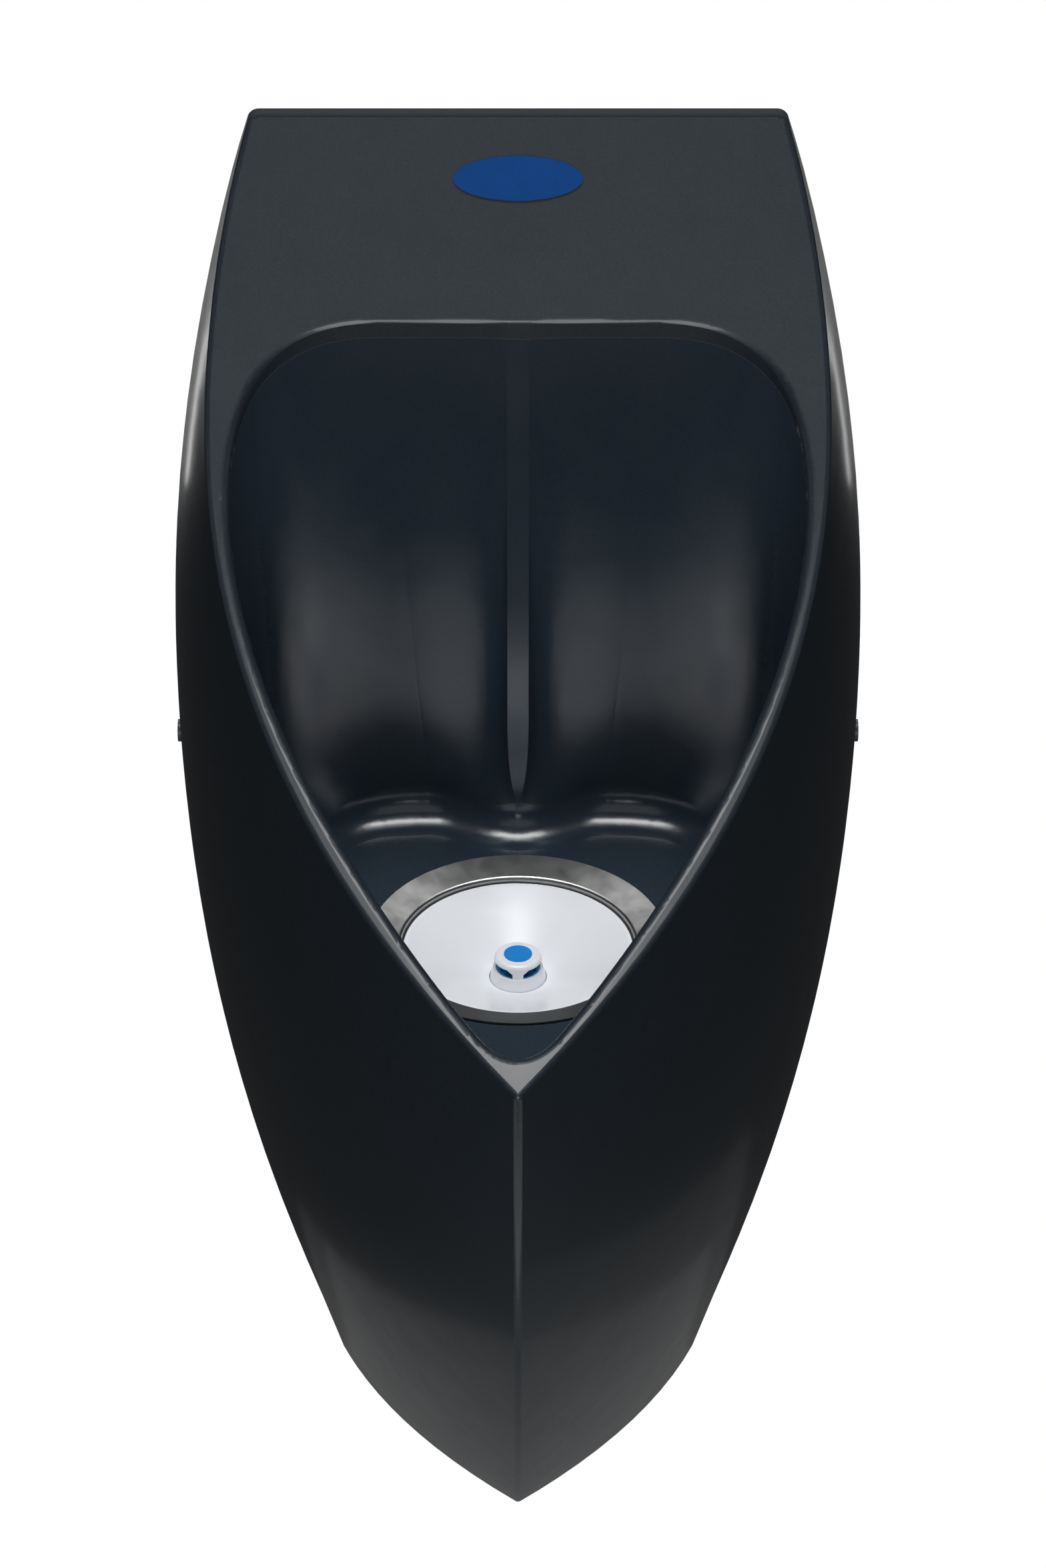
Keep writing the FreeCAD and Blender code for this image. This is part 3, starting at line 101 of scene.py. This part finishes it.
def relief(tree, shader, layers):
    """Bumps laid over each other, each a height socket and its depth in metres."""
    normal = None
    for height, depth in layers:
        bump = tree.nodes.new("ShaderNodeBump")
        bump.inputs["Strength"].default_value = 1.0
        bump.inputs["Distance"].default_value = depth
        tree.links.new(height, bump.inputs["Height"])
        if normal is not None:
            tree.links.new(normal, bump.inputs["Normal"])
        normal = bump.outputs["Normal"]
    tree.links.new(normal, shader.inputs["Normal"])


def dress(finish, *names):
    """Puts a finish on pieces that came from the construction."""
    for name in names:
        data = nodes[name].data
        data.materials.clear()
        data.materials.append(finish)


zinc, tree, shader = new_finish("zinc_flowers", metallic=1.0)
place = own_place(tree)
flower = tree.nodes.new("ShaderNodeSeparateColor")
tree.links.new(cells(tree, place, ZINC_FLOWER, "Color"), flower.inputs["Color"])
tint(tree, flower.outputs["Red"], paint(142, 146, 150), paint(188, 191, 194), shader.inputs["Base Color"])
spread(tree, flower.outputs["Green"], 0.34, 0.52, shader.inputs["Roughness"], 0.0, 1.0)
relief(tree, shader, [(cloud(tree, place, 0.004), 0.00005)])
dress(zinc, "wall_bracket", "lower_bracket_left", "lower_bracket_right")


# Hull. One bow-shaped moulding of glass fibre and polyester, 3 mm thick and 6 mm in the front face,
# with a satin anthracite gelcoat outside and the raw chopped mat showing inside. It hangs on the wall
# bracket. The gelcoat has a fine grain, faint clouds and a few specks of dust.
FRONT_CURVE = ((0.008, 0.102), (0.111, -0.115), (0.354, -0.243))  # setback and height: end, pull, end
FRONT_STEPS = 60
FRONT_SKIN = 0.0058  # depth of the front face that has gelcoat
HOLLOW_BEHIND = 0.05  # inner faces look at a point this far behind the wall's plane
HOLLOW_BELOW = 0.10  # and this far below them
TRIM_LEVEL = 0.097  # the trimmed top lies above this height
TRIM_FACING = 0.62  # and looks up at least so much, where 1 is straight up


def combine(tree, first, second, kind):
    """Two values put together: the larger one or their product."""
    maths = tree.nodes.new("ShaderNodeMath")
    maths.operation = kind
    for socket, value in zip(maths.inputs, (first, second)):
        if isinstance(value, float):
            socket.default_value = value
        else:
            tree.links.new(value, socket)
    return maths.outputs["Value"]


def gelcoat_finish(name, dark, light, rough_low, rough_high):
    """Pigmented gelcoat: clouds, a fine grain and specks of dust over one colour."""
    finish, tree, shader = new_finish(name)
    place = own_place(tree)
    grain = cloud(tree, place, 0.0012, detail=2.0)
    clouded = tint(tree, cloud(tree, place, 0.06), dark, light)
    grained = tint(tree, spread(tree, grain, 0.0, 0.10), clouded, paint(70, 82, 92))
    speck = spread(tree, cells(tree, place, 0.034), 0.5, 0.0, start=0.008, end=0.014)
    tint(tree, speck, grained, paint(120, 130, 138), shader.inputs["Base Color"])
    rubbed = combine(tree, cloud(tree, place, 0.02), grain, "MULTIPLY")
    spread(tree, rubbed, rough_low, rough_high, shader.inputs["Roughness"], 0.15, 0.4)
    relief(tree, shader, [(grain, 0.00001), (cloud(tree, place, 0.012, detail=1.0), 0.00002)])
    return finish, shader


def front_distance(centre):
    """How far a place lies from the curve of the hull's front face, seen from the side."""
    first, pull, last = (Vector((-setback, height)) for setback, height in FRONT_CURVE)
    beside = Vector((centre.y, centre.z))
    steps = [index / FRONT_STEPS for index in range(FRONT_STEPS + 1)]
    curve = [first * (1 - t) ** 2 + pull * 2 * t * (1 - t) + last * t * t for t in steps]
    return min((point - beside).length for point in curve)


def inside_hull(centre, normal):
    """True on the faces that look into the hull's hollow, behind the front face."""
    hollow = Vector((0, HOLLOW_BEHIND, centre.z - HOLLOW_BELOW))
    return front_distance(centre) > FRONT_SKIN and normal.dot(centre - hollow) < 0


def on_trimmed_top(centre, normal):
    """True on the top edge, which is sawn and sanded after moulding."""
    return centre.z > TRIM_LEVEL and normal.z > TRIM_FACING


def dress_part(finish, name, chosen):
    """Gives a piece a further finish on the faces for which the test holds."""
    data = nodes[name].data
    data.materials.append(finish)
    for face in data.polygons:
        if chosen(face.center, face.normal):
            face.material_index = len(data.materials) - 1


hull_gelcoat, shader = gelcoat_finish("satin_gelcoat", paint(22, 31, 38), paint(26, 35, 42), 0.42, 0.48)
shader.inputs["Specular IOR Level"].default_value = 0.42
shader.inputs["Coat Weight"].default_value = 0.3
shader.inputs["Coat Roughness"].default_value = 0.14
dress(hull_gelcoat, "hull_shell")

raw_mat, tree, shader = new_finish("raw_glass_mat")
strands = None
for turn in ((0.2, 0.1, 0.0), (0.9, 0.4, 0.8), (1.7, -0.5, 1.6), (2.5, 0.3, 2.4)):
    strand = cloud(tree, own_place(tree, (1, 1, 0.06), turn), 0.0011, detail=2.0)
    strands = strand if strands is None else combine(tree, strands, strand, "MAXIMUM")
pools = cloud(tree, own_place(tree), 0.03)
resin = tint(tree, pools, paint(66, 68, 60), paint(88, 90, 80))
strand_share = spread(tree, strands, 0.0, 0.75, start=0.58, end=0.74)
tint(tree, strand_share, resin, paint(146, 148, 136), shader.inputs["Base Color"])
spread(tree, strands, 0.34, 0.62, shader.inputs["Roughness"], 0.5, 0.8)
relief(tree, shader, [(strands, 0.0004), (pools, 0.0012)])
dress_part(raw_mat, "hull_shell", inside_hull)

trimmed_edge, tree, shader = new_finish("trimmed_edge")
sanded = cloud(tree, own_place(tree, (0.2, 1, 1)), 0.0008)
tint(tree, sanded, paint(22, 26, 30), paint(32, 37, 41), shader.inputs["Base Color"])
spread(tree, sanded, 0.78, 0.92, shader.inputs["Roughness"])
shader.inputs["Specular IOR Level"].default_value = 0.2
relief(tree, shader, [(sanded, 0.00008)])
dress_part(trimmed_edge, "hull_shell", on_trimmed_top)


# Hanging batten. A strip of birch plywood laminated into the back of the hull's top, which stands on
# the wall bracket's hook. Its plies show as bands along the edges.
PLY = 0.0030
WAVE_OF_SCALE_ONE = 0.314  # metres from band to band in a wave pattern of scale 1

batten_wood, tree, shader = new_finish("batten_plywood")
grain = cloud(tree, own_place(tree, (0.08, 1, 1)), 0.0022, detail=5.0)
plies = tree.nodes.new("ShaderNodeTexWave")
plies.bands_direction = "Y"
plies.inputs["Scale"].default_value = WAVE_OF_SCALE_ONE / PLY
plies.inputs["Distortion"].default_value = 0.4
plies.inputs["Detail"].default_value = 1.0
tree.links.new(own_place(tree), plies.inputs["Vector"])
wood = tint(tree, grain, paint(140, 104, 70), paint(196, 160, 118))
glue = spread(tree, plies.outputs["Fac"], 0.0, 0.55)
tint(tree, glue, wood, paint(104, 72, 46), shader.inputs["Base Color"])
spread(tree, grain, 0.55, 0.75, shader.inputs["Roughness"])
relief(tree, shader, [(grain, 0.0002), (plies.outputs["Fac"], 0.0001)])
dress(batten_wood, "hanging_batten")


# Bowl liner. A second moulding of the same glass fibre, glossier and a little bluer, bonded into the
# opening behind the front face, with the splash ridge down the middle of its back and a flat floor
# with the drain hole. Its gelcoat is painted lighter than the hull's, as painted light against the
# shade inside the bowl. The mat shows on the side that faces the wall.
BOWL_MIDDLE = -0.17  # faces that show look at a point this far out from the wall
BOWL_ABOVE = 0.05  # and this far above them


def behind_bowl(centre, normal):
    """True on the faces that look away from the bowl's middle."""
    middle = Vector((0, BOWL_MIDDLE, centre.z + BOWL_ABOVE))
    return normal.dot(middle - centre) < 0


# painted light: the liner's gelcoat colours are lighter than the hull's to brighten the shaded bowl
bowl_gelcoat_painted_lighter, shader = gelcoat_finish("bowl_gelcoat_painted_lighter", paint(36, 47, 57), paint(40, 51, 62), 0.19, 0.25)
shader.inputs["Specular IOR Level"].default_value = 0.75
dress(bowl_gelcoat_painted_lighter, "bowl_liner")
dress_part(raw_mat, "bowl_liner", behind_bowl)


# Drain collar and the five rubber seals. The collar is spun from stainless sheet and screwed into the
# pot below, with a rubber ring under its face and another under the bowl's floor. The other seals sit
# in the two unions and round the trap insert.
collar_steel, tree, shader = new_finish("spun_stainless", metallic=1.0)
place = own_place(tree)
tint(tree, cloud(tree, place, 0.02), paint(172, 172, 171), paint(192, 192, 191), shader.inputs["Base Color"])
spread(tree, cloud(tree, place, 0.01), 0.34, 0.42, shader.inputs["Roughness"])
around = tree.nodes.new("ShaderNodeTangent")
around.direction_type = "RADIAL"
around.axis = "Z"
tree.links.new(around.outputs["Tangent"], shader.inputs["Tangent"])
shader.inputs["Anisotropic"].default_value = 0.68
relief(tree, shader, [(cloud(tree, place, 0.001), 0.00001)])
dress(collar_steel, "trap_collar")


def clouded_finish(name, dark, light, blotch, rough, rough_blotch, grain, depth, metallic=0.0):
    """A plain moulded or turned surface: close colours in blotches, uneven gloss and a fine grain."""
    finish, tree, shader = new_finish(name, metallic)
    place = own_place(tree)
    tint(tree, cloud(tree, place, blotch), dark, light, shader.inputs["Base Color"])
    spread(tree, cloud(tree, place, rough_blotch), *rough, shader.inputs["Roughness"])
    relief(tree, shader, [(cloud(tree, place, grain), depth)])
    return finish, shader


rubber, shader = clouded_finish(
    "seal_rubber",
    paint(20, 20, 21),
    paint(34, 34, 35),
    blotch=0.006,
    rough=(0.66, 0.86),
    rough_blotch=0.004,
    grain=0.0008,
    depth=0.00006,
)
dress(rubber, "collar_gasket", "floor_washer", "outlet_washer", "tail_washer", "insert_seal_ring")


# Drain pot, union nuts, elbow and tail pipe. Injection-moulded polypropylene, the pot and nuts dark
# grey, the pipework light grey; the unions are drawn up by hand.
drain_plastic, shader = clouded_finish(
    "drain_polypropylene",
    paint(84, 88, 91),
    paint(98, 102, 105),
    blotch=0.02,
    rough=(0.38, 0.52),
    rough_blotch=0.012,
    grain=0.0009,
    depth=0.00005,
)
dress(drain_plastic, "drain_housing", "outlet_nut", "tail_nut")

pipe_plastic, shader = clouded_finish(
    "pipe_polypropylene",
    paint(168, 171, 171),
    paint(184, 187, 187),
    blotch=0.03,
    rough=(0.34, 0.46),
    rough_blotch=0.012,
    grain=0.0012,
    depth=0.00004,
)
dress(pipe_plastic, "outlet_elbow", "tail_pipe")


# Trap insert: dish, cup and inlet cap. Glossy white plastic mouldings that lift out of the collar
# together; the cup is screwed under the dish and holds the sealing liquid.
trap_white, shader = clouded_finish(
    "trap_white",
    paint(234, 237, 242),
    paint(242, 244, 248),
    blotch=0.03,
    rough=(0.14, 0.22),
    rough_blotch=0.008,
    grain=0.0015,
    depth=0.00001,
)
dress(trap_white, "trap_dish", "trap_cup", "inlet_cap")


# Strainer and cap disc. Blue plastic: the slotted sleeve that shows through the cap's windows, and
# the plain disc pressed into the top of the cap. The strainer's blue is painted lighter than the
# disc's, as painted light against the shade it sits in under the cap's head.
for name, dark, light in (
    # painted light: the strainer's colours are lighter than the disc's to brighten the shade under the cap
    ("inlet_strainer", paint(52, 164, 238), paint(64, 174, 244)),
    ("cap_disc", paint(30, 132, 212), paint(40, 142, 220)),
):
    trap_blue, shader = clouded_finish(
        name + "_blue",
        dark,
        light,
        blotch=0.006,
        rough=(0.24, 0.36),
        rough_blotch=0.003,
        grain=0.0006,
        depth=0.00002,
    )
    dress(trap_blue, name)


# Screws. Stainless: the small ones that hold the cup to the dish, and those that pin the hull's sides
# to the lower brackets.
screw_steel, shader = clouded_finish(
    "screw_stainless",
    paint(170, 169, 166),
    paint(196, 195, 192),
    blotch=0.002,
    rough=(0.22, 0.38),
    rough_blotch=0.001,
    grain=0.0006,
    depth=0.00002,
    metallic=1.0,
)
dress(screw_steel, "cup_screws", "side_screws")


# Side caps. Small buttons moulded in dark grey plastic, one on each side of the hull near the wall,
# pressed over the side screws' heads.
cap_grey, shader = clouded_finish(
    "cap_grey",
    paint(50, 57, 63),
    paint(60, 67, 73),
    blotch=0.003,
    rough=(0.36, 0.5),
    rough_blotch=0.002,
    grain=0.0007,
    depth=0.00002,
)
dress(cap_grey, "side_caps")


# Oval badge. A thin plain plate of blue plastic with a clear coat, stuck to the forehead with
# adhesive film.
badge_blue, shader = clouded_finish(
    "badge_blue",
    paint(0, 55, 116),
    paint(1, 62, 126),
    blotch=0.012,
    rough=(0.2, 0.3),
    rough_blotch=0.004,
    grain=0.002,
    depth=0.00001,
)
shader.inputs["Specular IOR Level"].default_value = 0.2
shader.inputs["Coat Weight"].default_value = 0.1
shader.inputs["Coat Roughness"].default_value = 0.06
dress(badge_blue, "oval_badge")


# Studio. A floor and a room that are white to the lens and dark to the gloss, as the real hull shows
# no white room. Softboxes hang overhead and in front, lie on the floor for the bow's underside, and
# stand behind and beside the hull for its edges.
FLOOR_MIDDLE = (0, 0.9, -0.90)
FLOOR_SIZE = (6, 8, 1)
FLOOR_GREY = (0.02, 0.02, 0.02, 1)
FLOOR_WHITE = 1.06
FLOOR_SHARE = 0.94
ROOM_LIGHT = 0.006
LENS_PLACE = (0.0, -2.0, 0.985)
LOOK_DOWN = 32.6  # degrees
FOCAL_LENGTH = 100.46  # millimetres, as is the sensor's width
SENSOR_WIDTH = 36
SIDE_SHIFT = 0.0032


def white_to_lens(tree, lit, plain, share, end):
    """Shows the lens that share of a plain shader, and all other light the lit one."""
    rays = tree.nodes.new("ShaderNodeLightPath")
    join = tree.nodes.new("ShaderNodeMixShader")
    tree.links.new(combine(tree, rays.outputs["Is Camera Ray"], share, "MULTIPLY"), join.inputs["Fac"])
    tree.links.new(lit, join.inputs[1])
    tree.links.new(plain, join.inputs[2])
    tree.links.new(join.outputs["Shader"], end)


bpy.ops.mesh.primitive_plane_add(size=1, location=FLOOR_MIDDLE)
floor = bpy.context.object
floor.name = "studio_floor"
floor.scale = FLOOR_SIZE
floor_paint, tree, shader = new_finish("studio_floor_white")
shader.inputs["Base Color"].default_value = FLOOR_GREY
shader.inputs["Roughness"].default_value = 0.9
glow = tree.nodes.new("ShaderNodeEmission")
glow.inputs["Strength"].default_value = FLOOR_WHITE
surface = tree.nodes["Material Output"].inputs["Surface"]
white_to_lens(tree, shader.outputs["BSDF"], glow.outputs["Emission"], FLOOR_SHARE, surface)
floor.data.materials.append(floor_paint)

world = bpy.data.worlds.new("studio")
bpy.context.scene.world = world
world.use_nodes = True
tree = world.node_tree
room = tree.nodes["Background"]
room.inputs["Color"].default_value = (1, 1, 1, 1)
room.inputs["Strength"].default_value = ROOM_LIGHT
white = tree.nodes.new("ShaderNodeBackground")
white.inputs["Color"].default_value = (1, 1, 1, 1)
surface = tree.nodes["World Output"].inputs["Surface"]
white_to_lens(tree, room.outputs["Background"], white.outputs["Background"], 1.0, surface)


def softbox(name, at, towards, width, height, power):
    """A rectangular studio lamp: its place, what it points at, its sides in metres and its watts."""
    lamp = bpy.data.lights.new(name, "AREA")
    lamp.shape = "RECTANGLE"
    lamp.size = width
    lamp.size_y = height
    lamp.energy = power
    box = bpy.data.objects.new(name, lamp)
    bpy.context.collection.objects.link(box)
    box.location = at
    box.rotation_euler = (Vector(towards) - Vector(at)).to_track_quat("-Z", "Y").to_euler()
    box.visible_camera = False


softbox("top_box", (0, -0.20, 1.45), (0, -0.20, 0), 1.2, 0.65, 27)
softbox("front_panel", (0, -2.5, 1.5), (0, 0, 0), 2.6, 1.6, 5.2)
softbox("low_box", (0, -2.7, -0.15), (0, 0, -0.15), 0.8, 1.0, 22)
softbox("under_box", (0, -0.05, -0.88), (0, -0.05, 0), 0.55, 0.5, 0.10)
softbox("under_wide", (0.06, -0.20, -0.885), (0.06, -0.20, 0), 0.7, 0.95, 0.17)
softbox("keel_glow", (0, -0.75, -0.88), (0, -0.75, 0), 1.4, 0.5, 1.8)
softbox("back_panel", (0, 1.9, 1.3), (0, 0, -0.25), 2.0, 0.8, 26)
softbox("back_glow", (0, 1.25, -0.89), (0, 1.25, 0), 0.62, 0.8, 0.7)
for side, name, strength in ((-1, "left", 1.0), (1, "right", 0.75)):
    softbox("strip_" + name, (side * 0.70, 1.3, -0.53), (0, -0.08, -0.1), 0.045, 0.5, 0.5 * strength)
    softbox("wing_" + name, (side * 0.49, 1.32, -0.52), (0, -0.08, -0.1), 0.38, 0.5, 0.10 * strength)
    softbox("side_panel_" + name, (side * 2.4, -0.3, 0.5), (0, -0.1, -0.2), 1.2, 1.2, 1.2)

camera = bpy.data.objects.new("lens", bpy.data.cameras.new("lens"))
bpy.context.collection.objects.link(camera)
camera.location = LENS_PLACE
camera.rotation_euler = (math.radians(90 - LOOK_DOWN), 0, 0)
camera.data.sensor_width = SENSOR_WIDTH
camera.data.lens = FOCAL_LENGTH
camera.data.shift_x = SIDE_SHIFT
bpy.context.scene.camera = camera
bpy.context.scene.view_settings.view_transform = "Standard"
